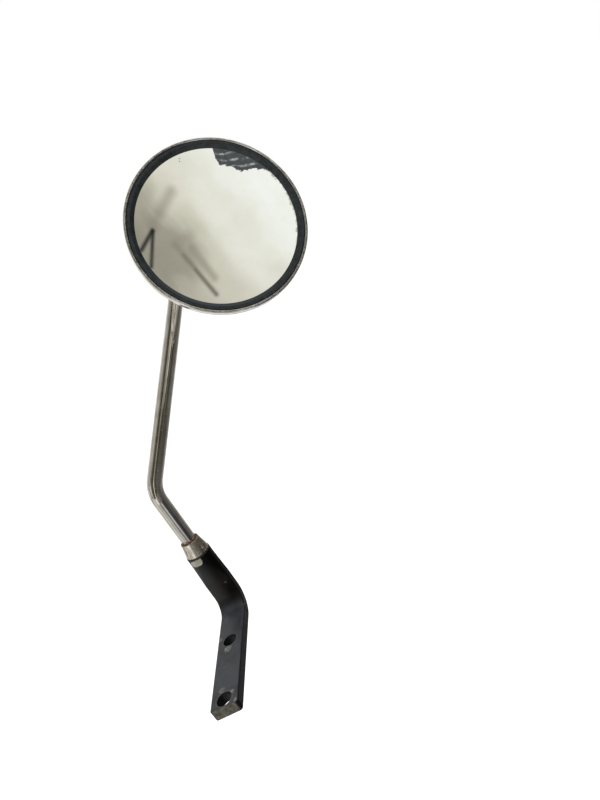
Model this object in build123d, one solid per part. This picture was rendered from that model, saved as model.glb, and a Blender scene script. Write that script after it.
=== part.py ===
from build123d import *
import math
import os

# A round, chromed bicycle mirror on a bent chromed rod, carried by a flat steel bracket.
# Frame: origin at the centre of the end bolt hole, on the underside of the bracket's flat leg.
# +Z is up (the bolt axis), the free end of the flat leg points to -Y, the mirror looks to -Y.

# ------------------------------------------------------------------ driving dimensions, mm
# bracket bar
BAR_WIDTH = 16.0
BAR_THICKNESS = 6.0
BAR_EDGE_ROUND = 0.8
BAR_END_ROUND = 2.0
BAR_INNER_BEND = 9.0
LEG_LENGTH = 74.7           # end hole to the middle of the upright
END_HOLE_DIAMETER = 8.6     # clearance for an 8 mm bolt
INNER_HOLE_DIAMETER = 8.4
HOLE_SPACING = 41.0
END_WEB = 0.9               # metal left between the end hole and the cut end
# socket head on top of the upright
TAPER_START = 25.0
TAPER_RISE = 16.0
SOCKET_SIDE_LAND = 1.1      # socket beyond the spigot, across the bar
SOCKET_FACE_LAND = 0.2      # socket beyond the spigot, through the bar
SOCKET_FLAT = 1.0           # half of the flat left between the socket's rounded corners
SOCKET_RISE = 5.5           # straight part above the taper
SPIGOT_WALL = 0.7           # spigot beyond the chamber
SPIGOT_RISE = 2.4
BORE_DEPTH = 12.0           # from the spigot's top
# tab washer and cone nut
TAB_THICKNESS = 0.8
TAB_RING_LAND = 1.3         # ring beyond the spigot
TAB_WIDTH = 6.4
TAB_ROUND = 2.2
TAB_DROP = 4.6
TAB_OFFSET = -1.2           # middle of the tab from the upright's centre line
CONE_BASE_WALL = 1.1        # cone beyond the spigot
CONE_TOP_WALL = 1.2         # cone beyond the rod
CONE_HEIGHT = 9.2
CONE_EDGE_ROUND = 0.4
# swivel stack inside the cone nut
THRUST_WASHER_THICKNESS = 0.8
COLLAR_WALL = 0.8
COLLAR_HEIGHT = 1.7
SPRING_WASHER_THICKNESS = 0.6
SPRING_WASHER_HEIGHT = 1.0
# rod
ROD_DIAMETER = 9.0
ROD_TAIL = 10.5             # length of rod inside the bracket's bore
ROD_RISE = 93.7             # height of the lower bend above the underside
ROD_LEAN = 46.0             # degrees away from vertical above the lower bend
ROD_SWING = 47.6            # direction of the lean, degrees from +X towards +Y
ROD_SIDE_TURN = 40.0        # degrees, the bend towards the middle of the mirror
LOWER_BEND_RADIUS = 18.0
SIDE_BEND_RADIUS = 20.0
FRONT_BEND_RADIUS = 12.5
NECK_RADIUS = 3.0
NECK_LENGTH = 3.2
NECK_TAPER = 1.9
BALL_STUD_RADIUS = 2.5
BALL_STUD_PAST = 1.7        # how far the stud goes past the ball's centre
NECK_RUN = 16.1             # root of the neck to the corner of the front bend
# ball joint, all spheres share the ball's centre
HEAD_OFFSET = (97.0, 59.8, 99.9)    # from the corner of the lower bend to the ball's centre
BALL_RADIUS = 8.0
BALL_LAND = 0.27            # flat on the ball beyond the neck
LINER_THICKNESS = 1.15
# angles about the ball's centre, degrees from the neck
REAR_LINER_MOUTH = 42.9
REAR_LINER_EDGE = 85.0
FRONT_LINER_EDGE = 106.4
FRONT_LINER_MOUTH = 138.6
OPENING_ANGLE = 54.2
CUP_OVERLAP = 0.5           # cup beyond the front liner's mouth
PLATE_GAP = 0.4             # front liner's edge to the plate's back
# mirror head, heights are along the mirror's axis from the ball's centre
MIRROR_YAW = -67.6          # direction that the glass faces, degrees from +X
MIRROR_PITCH = 18.0         # degrees upwards
HEAD_RADIUS = 51.0
RIM_HEIGHT = 21.0
SHELL_WALL = 1.0
SHELL_FLAT_LAND = 0.7       # flat back beyond the screw heads
RIM_TAPER = 1.6             # how much the mouth narrows from its front edge to the shoulder
SHOULDER_WIDTH = 1.6
BEZEL_WALL = 0.7
BEZEL_LIP = 1.8
BEZEL_CRIMP = 1.4
BEZEL_BACK_GAUGE = 0.8
RIM_EDGE_DROP = 2.5         # shell's front edge below the rim's crest
GLASS_THICKNESS = 2.0
GLASS_SETBACK = 2.0         # glass front below the gasket's crest
GLASS_COVER = 1.9           # how far the gasket's lip covers the glass
GASKET_SLOPE = 1.7          # run of the gasket's sloping crest
GASKET_CREST_ROUND = 0.6
GASKET_WALL = 2.1
GASKET_FLOOR = 0.8
PAD_THICKNESS = 1.0
# retainer plate and its fasteners
PLATE_THICKNESS = 1.2
PLATE_LAND = 0.7            # plate beyond the screw heads
SCREW_COUNT = 3
SCREW_GAP = 1.45            # seat to the screw heads
SCREW_RADIUS = 2.0
SCREW_HEAD_RADIUS = 3.8
SCREW_HEAD_HEIGHT = 2.3
SCREW_HEAD_ROUND = 0.9
RECESS_WIDTH = 1.0
RECESS_LENGTH = 4.2
RECESS_DEPTH = 1.3
SCREW_OVERRUN = 1.0
LOCK_WASHER_THICKNESS = 1.0
LOCK_WASHER_RADIUS = 3.4
LOCK_WASHER_SPLIT = 0.7
NUT_ACROSS_FLATS = 7.0
NUT_HEIGHT = 3.2

# ------------------------------------------------------------------ clearances
RUNNING_FIT = 0.05          # radial, turning fits
SNUG_FIT = 0.03             # radial, pieces of one body
LOOSE_FIT = 0.3             # radial, pieces that pass each other
GASKET_FIT = 0.1
BOLT_FIT = 0.15

# ------------------------------------------------------------------ worked-out places
rod_radius = ROD_DIAMETER / 2
half_bar = BAR_THICKNESS / 2
end_hole_radius = END_HOLE_DIAMETER / 2
collar_radius = rod_radius + COLLAR_WALL
chamber_radius = collar_radius + LOOSE_FIT
washer_radius = chamber_radius - GASKET_FIT
spigot_radius = chamber_radius + SPIGOT_WALL
tab_ring_radius = spigot_radius + TAB_RING_LAND
cone_base_radius = spigot_radius + CONE_BASE_WALL
cone_top_radius = rod_radius + CONE_TOP_WALL
socket_width = 2 * (spigot_radius + SOCKET_SIDE_LAND)
socket_depth = 2 * (spigot_radius + SOCKET_FACE_LAND)
socket_round = socket_depth / 2 - SOCKET_FLAT
taper_end = TAPER_START + TAPER_RISE
socket_top = taper_end + SOCKET_RISE
spigot_top = socket_top + SPIGOT_RISE
cone_base = socket_top + TAB_THICKNESS
cone_top = cone_base + CONE_HEIGHT
collar_base = spigot_top + THRUST_WASHER_THICKNESS
spring_base = collar_base + COLLAR_HEIGHT
chamber_top = spring_base + SPRING_WASHER_HEIGHT

liner_inner = BALL_RADIUS + RUNNING_FIT
liner_outer = liner_inner + LINER_THICKNESS
seat_inner = liner_outer + RUNNING_FIT
seat_outer = seat_inner + SHELL_WALL
ball_flat = math.sqrt(BALL_RADIUS**2 - (NECK_RADIUS + BALL_LAND) ** 2)
stud_length = ball_flat + BALL_STUD_PAST
rear_liner_from = -liner_inner * math.cos(math.radians(REAR_LINER_MOUTH))
rear_liner_to = -liner_outer * math.cos(math.radians(REAR_LINER_EDGE))
front_liner_from = -liner_outer * math.cos(math.radians(FRONT_LINER_EDGE))
front_liner_to = -liner_outer * math.cos(math.radians(FRONT_LINER_MOUTH))
opening_radius = seat_inner * math.sin(math.radians(OPENING_ANGLE))
plate_height = front_liner_from + PLATE_GAP
cup_height = front_liner_to + CUP_OVERLAP
screw_circle = seat_outer + SCREW_GAP + SCREW_HEAD_RADIUS
shell_flat_radius = screw_circle + SCREW_HEAD_RADIUS + SHELL_FLAT_LAND
plate_radius = screw_circle + SCREW_HEAD_RADIUS + PLATE_LAND

shell_radius = HEAD_RADIUS - BEZEL_WALL - GASKET_FIT
shell_bore = shell_radius - SHELL_WALL
dome_radius = shell_radius - RIM_TAPER - SHOULDER_WIDTH
gasket_radius = shell_bore - GASKET_FIT
glass_radius = gasket_radius - GASKET_WALL
shell_edge = RIM_HEIGHT - RIM_EDGE_DROP
glass_front = RIM_HEIGHT - GLASS_SETBACK
glass_back = glass_front - GLASS_THICKNESS
pad_back = glass_back - PAD_THICKNESS
gasket_back = pad_back - GASKET_FLOOR
shell_shoulder = gasket_back - SHELL_WALL    # the step that the bezel is crimped over
screw_seat = -SHELL_WALL
washer_seat = plate_height + PLATE_THICKNESS
nut_seat = washer_seat + LOCK_WASHER_THICKNESS
screw_end = nut_seat + NUT_HEIGHT + SCREW_OVERRUN


def direction(azimuth, elevation):
    """Unit vector from an azimuth from +X towards +Y and an elevation above XY, in degrees."""
    a = math.radians(azimuth)
    e = math.radians(elevation)
    return Vector(math.cos(e) * math.cos(a), math.cos(e) * math.sin(a), math.sin(e))


mirror_axis = direction(MIRROR_YAW, MIRROR_PITCH)
lower_bend = Vector(0, LEG_LENGTH, ROD_RISE)
ball_centre = lower_bend + Vector(*HEAD_OFFSET)
sideways = Vector(0, 0, 1).cross(mirror_axis).normalized()
head_place = Location(Plane(origin=ball_centre, x_dir=sideways, z_dir=mirror_axis))
upright_place = Location((0, LEG_LENGTH, 0))


# ------------------------------------------------------------------ shape helpers
def turned(outline, rounds=()):
    """Solid turned about Z from (radius, height) corners; rounds are (corner, fillet radius)."""
    face = make_face(Polyline(*outline, close=True))
    for corner, radius in rounds:
        vertex = face.vertices().sort_by_distance((*outline[corner], 0))[0]
        face = face.face().fillet_2d(radius, [vertex])
    return revolve(Plane.XZ * face, Axis.Z)


def tube(outer, inner, low, high):
    """Plain ring between two heights."""
    return turned([(inner, low), (outer, low), (outer, high), (inner, high)])


def slab(low, high, radius=HEAD_RADIUS):
    """Round disc between two heights."""
    return Pos(0, 0, (low + high) / 2) * Cylinder(radius, high - low)


def sphere_zone(outer, inner, low, high):
    """Spherical shell about the ball's centre, kept between two heights."""
    return (Sphere(outer) - Sphere(inner)) & slab(low, high)


def screw_ring(piece):
    """Copies of a piece on the screw circle."""
    step = 360 / SCREW_COUNT
    turns = [Rot(0, 0, 90 + step * k) * Pos(screw_circle, 0, 0) for k in range(SCREW_COUNT)]
    return [turn * piece for turn in turns]


# ------------------------------------------------------------------ bracket
def bracket_bar():
    """Flat bar bent flatwise, its top worked into a socket for the rod."""
    start = -(end_hole_radius + END_WEB)
    route = FilletPolyline(
        (0, start, half_bar),
        (0, LEG_LENGTH, half_bar),
        (0, LEG_LENGTH, TAPER_START),
        radius=BAR_INNER_BEND + half_bar,
    )
    section = RectangleRounded(BAR_WIDTH, BAR_THICKNESS, BAR_EDGE_ROUND)
    cut_end = Plane(origin=(0, start, half_bar), x_dir=(1, 0, 0), z_dir=(0, 1, 0))
    bar = sweep(cut_end * section, path=route)
    plan_length = 2 * LEG_LENGTH
    plan = Pos(0, start + plan_length / 2) * RectangleRounded(BAR_WIDTH, plan_length, BAR_END_ROUND)
    bar = bar & extrude(plan, taper_end)
    socket = RectangleRounded(socket_width, socket_depth, socket_round)
    taper = loft([Pos(0, 0, TAPER_START) * section, Pos(0, 0, taper_end) * socket])
    head = extrude(Pos(0, 0, taper_end) * socket, SOCKET_RISE)
    spigot = slab(socket_top, spigot_top, spigot_radius)
    bar = bar + upright_place * (taper + head + spigot)
    bore = slab(spigot_top - BORE_DEPTH, cone_top, rod_radius + RUNNING_FIT)
    bar = bar - upright_place * bore
    holes = ((0, END_HOLE_DIAMETER), (HOLE_SPACING, INNER_HOLE_DIAMETER))
    for y, diameter in holes:
        bar = bar - Pos(0, y, half_bar) * Cylinder(diameter / 2, 2 * BAR_THICKNESS)
    return bar


def tab_washer():
    """Ring under the cone nut with one tab folded down over the socket's flat."""
    ring = tube(tab_ring_radius, spigot_radius + SNUG_FIT, socket_top, cone_base)
    reach = socket_depth / 2 + TAB_THICKNESS
    flat = Plane(origin=(TAB_OFFSET, -socket_depth / 2, socket_top), x_dir=(1, 0, 0), z_dir=(0, -1, 0))
    tab = extrude(flat * RectangleRounded(TAB_WIDTH, 2 * TAB_DROP, TAB_ROUND), TAB_THICKNESS)
    root = Pos(TAB_OFFSET, -reach / 2, socket_top + TAB_THICKNESS / 2)
    root = root * Box(TAB_WIDTH, reach, TAB_THICKNESS) - slab(0, cone_top, spigot_radius + SNUG_FIT)
    washer = ring + root + (tab & slab(0, cone_base))
    return upright_place * washer


def cone_nut():
    """Chromed conical nut that traps the rod's collar on the socket."""
    bore = rod_radius + RUNNING_FIT
    outline = [
        (spigot_radius + SNUG_FIT, cone_base),
        (cone_base_radius, cone_base),
        (cone_top_radius, cone_top),
        (bore, cone_top),
        (bore, chamber_top),
        (chamber_radius, chamber_top),
        (chamber_radius, spigot_top),
        (spigot_radius + SNUG_FIT, spigot_top),
    ]
    return upright_place * turned(outline, ((1, CONE_EDGE_ROUND), (2, CONE_EDGE_ROUND)))


def thrust_washer():
    """Fibre washer that the collar turns on."""
    ring = tube(washer_radius, rod_radius + LOOSE_FIT, spigot_top, collar_base)
    return upright_place * ring


def spring_washer():
    """Coned spring washer that gives the swivel its friction."""
    bore = rod_radius + LOOSE_FIT
    dish = SPRING_WASHER_HEIGHT - SPRING_WASHER_THICKNESS
    outline = [
        (bore, spring_base),
        (washer_radius, spring_base + dish),
        (washer_radius, chamber_top),
        (bore, chamber_top - dish),
    ]
    return upright_place * turned(outline)


# ------------------------------------------------------------------ rod
def rod_route():
    """Corner points of the rod's centre line, from its tail to the neck's root."""
    lean = direction(ROD_SWING, 90 - ROD_LEAN)
    tail = Vector(0, LEG_LENGTH, spigot_top - ROD_TAIL)
    root = ball_centre - mirror_axis * (ball_flat + NECK_LENGTH + NECK_TAPER)
    front_bend = root - mirror_axis * NECK_RUN
    reach = (front_bend - lower_bend).dot(lean)
    foot = lower_bend + lean * reach
    side_step = (front_bend - foot).length
    side_bend = foot - lean * (side_step / math.tan(math.radians(ROD_SIDE_TURN)))
    return [tail, lower_bend, side_bend, front_bend, root]


def rod():
    """Bent rod with a thinner neck and a stud for the ball."""
    radii = [LOWER_BEND_RADIUS, SIDE_BEND_RADIUS, FRONT_BEND_RADIUS]
    points = rod_route()
    route = FilletPolyline(*points, radius=radii)
    bent = sweep(Plane(origin=points[0], z_dir=(0, 0, 1)) * Circle(rod_radius), path=route)
    seat = -ball_flat
    neck_low = seat - NECK_LENGTH
    stud_top = seat + stud_length
    outline = [
        (0, neck_low - NECK_TAPER),
        (rod_radius, neck_low - NECK_TAPER),
        (NECK_RADIUS, neck_low),
        (NECK_RADIUS, seat),
        (BALL_STUD_RADIUS, seat),
        (BALL_STUD_RADIUS, stud_top),
        (0, stud_top),
    ]
    return bent + head_place * turned(outline)


def rod_collar():
    """Steel ring fixed on the rod, trapped under the cone nut."""
    ring = tube(collar_radius, rod_radius + SNUG_FIT, collar_base, spring_base)
    return upright_place * ring


def pivot_ball():
    """Steel ball on the rod's stud, with a flat for the neck."""
    ball = Sphere(BALL_RADIUS) & slab(-ball_flat, BALL_RADIUS)
    bore = slab(-BALL_RADIUS, stud_length - ball_flat + LOOSE_FIT, BALL_STUD_RADIUS + SNUG_FIT)
    return head_place * (ball - bore)


# ------------------------------------------------------------------ mirror head
def rear_liner():
    """Friction liner between the ball and the shell's seat."""
    return head_place * sphere_zone(liner_outer, liner_inner, rear_liner_from, rear_liner_to)


def front_liner():
    """Friction liner between the ball and the retainer plate's cup."""
    return head_place * sphere_zone(liner_outer, liner_inner, front_liner_from, front_liner_to)


def bowl(inset, flat, step, mouth, top):
    """Solid bowl: flat back, round dome, shoulder and widening mouth, inset by a wall."""
    rise = shell_shoulder + SHELL_WALL
    run = dome_radius - shell_flat_radius
    dome = (run * run + rise * rise) / (2 * rise)
    arc = dome - inset
    centre = (shell_flat_radius, dome - SHELL_WALL)
    drop = centre[1] - step
    edge = (centre[0] + math.sqrt(arc * arc - drop * drop), step)
    half = math.radians(45) - 0.5 * math.asin(drop / arc)
    middle = (centre[0] + arc * math.sin(half), centre[1] - arc * math.cos(half))
    back = (shell_flat_radius, flat)
    outline = ThreePointArc(back, middle, edge)
    wall = [(mouth - RIM_TAPER, step), (mouth, shell_edge)]
    if top > shell_edge:
        wall.append((mouth, top))
    rest = Polyline(edge, *wall, (0, top), (0, flat), back)
    return revolve(Plane.XZ * make_face([outline, rest]), Axis.Z)


def mirror_shell():
    """Pressed steel shell with a spherical seat for the ball in its back."""
    outside = bowl(0, -SHELL_WALL, shell_shoulder, shell_radius, shell_edge)
    inside = bowl(SHELL_WALL, 0, gasket_back, shell_bore, RIM_HEIGHT)
    shell = (outside + Sphere(seat_outer)) - inside - Sphere(seat_inner)
    shell = shell - slab(-2 * seat_outer, 0, opening_radius)
    hole = slab(-2 * SHELL_WALL, SHELL_WALL, SCREW_RADIUS + BOLT_FIT)
    for cut in screw_ring(hole):
        shell = shell - cut
    return head_place * shell


def bezel_ring():
    """Chromed ring rolled over the shell's edge and crimped behind its shoulder."""
    inside = HEAD_RADIUS - BEZEL_WALL
    lip = HEAD_RADIUS - BEZEL_LIP
    crest = RIM_HEIGHT - SNUG_FIT
    back = shell_shoulder - BEZEL_BACK_GAUGE
    crimp = inside - RIM_TAPER - BEZEL_CRIMP
    outline = [
        (HEAD_RADIUS - RIM_TAPER, back),
        (HEAD_RADIUS, shell_edge),
        (HEAD_RADIUS, crest),
        (lip, crest),
        (lip, shell_edge),
        (inside, shell_edge),
        (inside - RIM_TAPER, shell_shoulder),
        (crimp, shell_shoulder),
        (crimp, back),
    ]
    roll = BEZEL_LIP / 2 - SNUG_FIT
    return head_place * turned(outline, ((2, roll), (3, roll), (0, BEZEL_BACK_GAUGE / 2)))


def rim_gasket():
    """Rubber channel that holds the edge of the glass."""
    groove = glass_radius + SNUG_FIT
    lip = glass_radius - GLASS_COVER
    outline = [
        (gasket_radius - RIM_TAPER, gasket_back),
        (gasket_radius, shell_edge),
        (gasket_radius, RIM_HEIGHT),
        (lip + GASKET_SLOPE, RIM_HEIGHT),
        (lip, glass_front + GASKET_FIT),
        (lip, glass_front),
        (groove, glass_front),
        (groove, pad_back),
        (lip, pad_back),
        (lip, gasket_back),
    ]
    return head_place * turned(outline, ((2, GASKET_CREST_ROUND), (3, GASKET_CREST_ROUND)))


def mirror_glass():
    """Flat silvered glass disc."""
    return head_place * slab(glass_back, glass_front, glass_radius)


def backing_pad():
    """Soft felt disc behind the glass."""
    return head_place * slab(pad_back, glass_back, glass_radius)


def retainer_plate():
    """Spring plate with a cup that presses the front liner on the ball."""
    disc = slab(plate_height, plate_height + PLATE_THICKNESS, plate_radius)
    cup = Sphere(seat_outer) & slab(plate_height, cup_height)
    plate = (disc + cup) - Sphere(seat_inner)
    hole = slab(0, 2 * washer_seat, SCREW_RADIUS + BOLT_FIT)
    for cut in screw_ring(hole):
        plate = plate - cut
    return head_place * plate


def retainer_screws():
    """Cross-recessed pan head screws through the shell's back."""
    low = screw_seat - SCREW_HEAD_HEIGHT
    outline = [
        (0, low),
        (SCREW_HEAD_RADIUS, low),
        (SCREW_HEAD_RADIUS, screw_seat),
        (SCREW_RADIUS, screw_seat),
        (SCREW_RADIUS, screw_end),
        (0, screw_end),
    ]
    screw = turned(outline, ((1, SCREW_HEAD_ROUND),))
    for turn in (0, 90):
        slot = Box(RECESS_LENGTH, RECESS_WIDTH, 2 * RECESS_DEPTH)
        screw = screw - Pos(0, 0, low) * Rot(0, 0, turn) * slot
    return [head_place * one for one in screw_ring(screw)]


def lock_washers():
    """Split lock washers between the retainer plate and the nuts."""
    washer = tube(LOCK_WASHER_RADIUS, SCREW_RADIUS + BOLT_FIT, washer_seat, nut_seat)
    split = Pos(LOCK_WASHER_RADIUS, 0, (washer_seat + nut_seat) / 2)
    washer = washer - split * Box(LOCK_WASHER_RADIUS, LOCK_WASHER_SPLIT, 2 * LOCK_WASHER_THICKNESS)
    return [head_place * one for one in screw_ring(washer)]


def retainer_nuts():
    """Hexagon nuts inside the shell."""
    corner = NUT_ACROSS_FLATS / math.sqrt(3)
    nut = extrude(Pos(0, 0, nut_seat) * RegularPolygon(corner, 6), NUT_HEIGHT)
    nut = nut - slab(nut_seat - NUT_HEIGHT, screw_end, SCREW_RADIUS + SNUG_FIT)
    return [head_place * one for one in screw_ring(nut)]


# ------------------------------------------------------------------ export
NODES = {
    "bracket_bar": bracket_bar,
    "tab_washer": tab_washer,
    "cone_nut": cone_nut,
    "thrust_washer": thrust_washer,
    "spring_washer": spring_washer,
    "rod": rod,
    "rod_collar": rod_collar,
    "pivot_ball": pivot_ball,
    "rear_liner": rear_liner,
    "front_liner": front_liner,
    "mirror_shell": mirror_shell,
    "bezel_ring": bezel_ring,
    "rim_gasket": rim_gasket,
    "mirror_glass": mirror_glass,
    "backing_pad": backing_pad,
    "retainer_plate": retainer_plate,
    "retainer_screws": retainer_screws,
    "lock_washers": lock_washers,
    "retainer_nuts": retainer_nuts,
}

os.makedirs("parts", exist_ok=True)
for name, make in NODES.items():
    made = make()
    solids = made if isinstance(made, list) else [made]
    piece = Compound(children=[solid for one in solids for solid in one.solids()])
    export_step(piece, f"parts/{name}.step")
    print(name, len(piece.solids()), round(piece.volume, 1))
for corner in rod_route():
    print("rod corner", round(corner.X, 1), round(corner.Y, 1), round(corner.Z, 1))
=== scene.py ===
import math
import bpy
import numpy as np
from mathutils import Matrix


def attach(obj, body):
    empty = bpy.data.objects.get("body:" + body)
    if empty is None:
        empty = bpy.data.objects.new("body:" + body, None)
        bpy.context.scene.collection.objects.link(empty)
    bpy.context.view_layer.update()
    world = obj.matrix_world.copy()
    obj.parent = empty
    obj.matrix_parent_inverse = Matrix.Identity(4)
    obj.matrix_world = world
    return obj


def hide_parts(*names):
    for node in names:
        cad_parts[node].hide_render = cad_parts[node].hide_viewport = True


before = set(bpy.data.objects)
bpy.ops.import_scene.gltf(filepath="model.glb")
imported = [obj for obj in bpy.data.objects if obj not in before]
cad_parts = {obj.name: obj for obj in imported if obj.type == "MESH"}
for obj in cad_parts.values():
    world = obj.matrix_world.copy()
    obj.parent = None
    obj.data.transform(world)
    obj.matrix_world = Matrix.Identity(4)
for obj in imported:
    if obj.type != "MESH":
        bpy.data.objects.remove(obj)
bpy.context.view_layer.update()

# A round chromed bicycle mirror on a bent chromed rod and a black flat steel bracket.
# The scene is in metres. The object's own sizes are given in millimetres, which MM turns into
# metres; lamp, floor and camera say their own unit.

MM = 0.001
TURN = 2 * math.pi

# ------------------------------------------------------------------ the object's main places
BALL = np.array((97.0, 134.5, 193.6))       # centre of the ball joint
YAW = math.radians(-67.6)                   # where the glass faces, from +X towards +Y
PITCH = math.radians(18.0)                  # and how far upwards
AXIS = np.array((math.cos(PITCH) * math.cos(YAW), math.cos(PITCH) * math.sin(YAW), math.sin(PITCH)))
SIDE = np.array((-math.sin(YAW), math.cos(YAW), 0.0))
UP = np.cross(AXIS, SIDE)
HEAD_TURN = (math.radians(90) - PITCH, 0.0, YAW + math.radians(90))
UPRIGHT = np.array((0.0, 74.7, 0.0))        # foot of the line that the cone and the rod stand on
# an origin with its x, y and z axes
HEAD = (BALL, SIDE, UP, AXIS)
STAND = (UPRIGHT, *np.eye(3))
# bracket and cone, from the middle of the end hole and from the underside
HALF_WIDTH = 8.0
THICKNESS = 6.0
CUT_END = -5.2
SOCKET_TOP = 46.5
CONE_FOOT = 47.3
CONE_TOP = 56.5
# head, along its axis from the ball's centre
GLASS_BACK = 17.0
GROOVE = 17.5
GLASS_FRONT = 19.0
RIM_CREST = 20.97
GLASS_RADIUS = 47.0
RIM_RADIUS = 51.0


# ------------------------------------------------------------------ node helper and colours
def add(tree, kind, inputs=(), stops=None, out=0, **settings):
    """Adds one shader node and gives back one of its output sockets, or all of them when out is
    None. The inputs pair sockets with values or links; the stops fill a colour ramp."""
    made = tree.nodes.new("ShaderNode" + kind)
    for name, value in settings.items():
        setattr(made, name, value)
    for socket, value in dict(inputs).items():
        if isinstance(value, bpy.types.NodeSocket):
            tree.links.new(value, made.inputs[socket])
        else:
            made.inputs[socket].default_value = value
    if stops:
        elements = made.color_ramp.elements
        while len(elements) < len(stops):
            elements.new(1.0)
        for element, (place, shade) in zip(elements, stops):
            element.position = place
            element.color = shade
    return made.outputs if out is None else made.outputs[out]


# settings that come back often: a mix of two colours, a soft step, sums, measures of vectors,
# and a mapping that takes the place, turn and size of a pattern's own frame
BLEND = {"data_type": "RGBA", "out": 2}
SOFT = {"interpolation_type": "SMOOTHSTEP"}
PLUS = {"operation": "ADD"}
MINUS = {"operation": "SUBTRACT"}
TIMES = {"operation": "MULTIPLY"}
TIMES_PLUS = {"operation": "MULTIPLY_ADD"}
SHARED_BY = {"operation": "DIVIDE"}
LARGER = {"operation": "MAXIMUM"}
UNSIGNED = {"operation": "ABSOLUTE"}
DIRECTION = {"operation": "ARCTAN2"}
LENGTH = {"operation": "LENGTH", "out": 1}
DOT = {"operation": "DOT_PRODUCT", "out": 1}
GAP = {"operation": "DISTANCE", "out": 1}
FRAMED = {"vector_type": "TEXTURE"}


def colour(code):
    """sRGB hex to linear RGBA."""
    parts = [int(code[k:k + 2], 16) / 255 for k in (0, 2, 4)]
    linear = [c / 12.92 if c <= 0.04045 else ((c + 0.055) / 1.055) ** 2.4 for c in parts]
    return (*linear, 1.0)


def grey(value):
    """Plain grey for a mask stop."""
    return (value, value, value, 1.0)


# ------------------------------------------------------------------ surfaces
def rounded(corners, closed=False, steps=6):
    """Profile of (radius, height) points; each corner (radius, height, fillet) becomes an arc that
    touches both of its edges, with one more point on each edge a third of a fillet further on."""
    spots = np.array([c[:2] for c in corners], float)
    count = len(spots)
    line = []
    for k, (*_, fillet) in enumerate(corners):
        ends = not closed and k in (0, count - 1)
        if ends or not fillet:
            line.append(spots[k][None])
            continue
        back = spots[k - 1] - spots[k]
        ahead = spots[(k + 1) % count] - spots[k]
        back, ahead = back / np.linalg.norm(back), ahead / np.linalg.norm(ahead)
        half = 0.5 * math.acos(float(np.clip(back @ ahead, -1, 1)))
        reach = fillet / math.tan(half)
        middle = spots[k] + (back + ahead) / np.linalg.norm(back + ahead) * fillet / math.sin(half)
        first = spots[k] + back * reach - middle
        last = spots[k] + ahead * reach - middle
        span = math.pi - 2 * half
        part = np.linspace(0, 1, steps)[:, None]
        arc = (np.sin((1 - part) * span) * first + np.sin(part * span) * last) / math.sin(span)
        lead = fillet / 3
        arc = np.vstack((first + back * lead, arc, last + ahead * lead))
        line.append(middle + arc)
    return np.vstack(line)


def build(name, grid, wrap_rows=False):
    """Mesh object from a (rows, columns, 3) grid in mm, its columns closed into a ring. A row
    whose points all fall together is a pole; an open end that is no pole gets a flat cap.
    The faces are turned so that the volume they enclose is positive."""
    rows, columns = grid.shape[:2]
    points = grid.reshape(-1, 3) * MM
    ids = np.arange(rows * columns).reshape(rows, columns)
    for row in range(rows):
        if np.ptp(grid[row], axis=0).max() < 1e-6:
            ids[row] = ids[row, 0]
    if wrap_rows:
        ids = np.vstack((ids, ids[:1]))
    ring = np.roll(ids, -1, axis=1)
    quads = np.stack((ids[:-1], ring[:-1], ring[1:], ids[1:]), axis=-1).reshape(-1, 4)
    low = quads[:, 0] == quads[:, 1]
    high = quads[:, 2] == quads[:, 3]
    faces = quads[~(low | high)].tolist() + quads[low & ~high][:, [0, 2, 3]].tolist()
    faces += quads[high & ~low][:, [0, 1, 2]].tolist()
    if not wrap_rows:
        faces += [list(end) for end in (ids[0][::-1], ids[-1]) if end[0] != end[1]]
    corners = [(f[0], f[k], f[k + 1]) for f in faces for k in range(1, len(f) - 1)]
    a, b, c = (points[np.array(corners)[:, k]] for k in range(3))
    if np.einsum("ij,ij->i", a, np.cross(b, c)).sum() < 0:
        faces = [f[::-1] for f in faces]
    used = np.unique(np.concatenate([np.array(f) for f in faces]))
    short = np.zeros(len(points), int)
    short[used] = np.arange(len(used))
    mesh = bpy.data.meshes.new(name)
    mesh.from_pydata(points[used].tolist(), [], [short[np.array(f)].tolist() for f in faces])
    mesh.polygons.foreach_set("use_smooth", np.ones(len(mesh.polygons), bool))
    mesh.update()
    made = bpy.data.objects.new(name, mesh)
    bpy.context.scene.collection.objects.link(made)
    return made


def turned(name, profile, place, columns=360, wrap=True):
    """Surface of revolution: every profile point goes round the place's origin. It lies its
    radius times the cosine of the angle along x, its radius times the sine along y, and its
    height along z."""
    origin, x, y, z = place
    angle = np.arange(columns) / columns * TURN
    ring = x * np.cos(angle)[:, None] + y * np.sin(angle)[:, None]
    grid = origin + profile[:, 0, None, None] * ring[None] + profile[:, 1, None, None] * z
    return build(name, grid, wrap)


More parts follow.
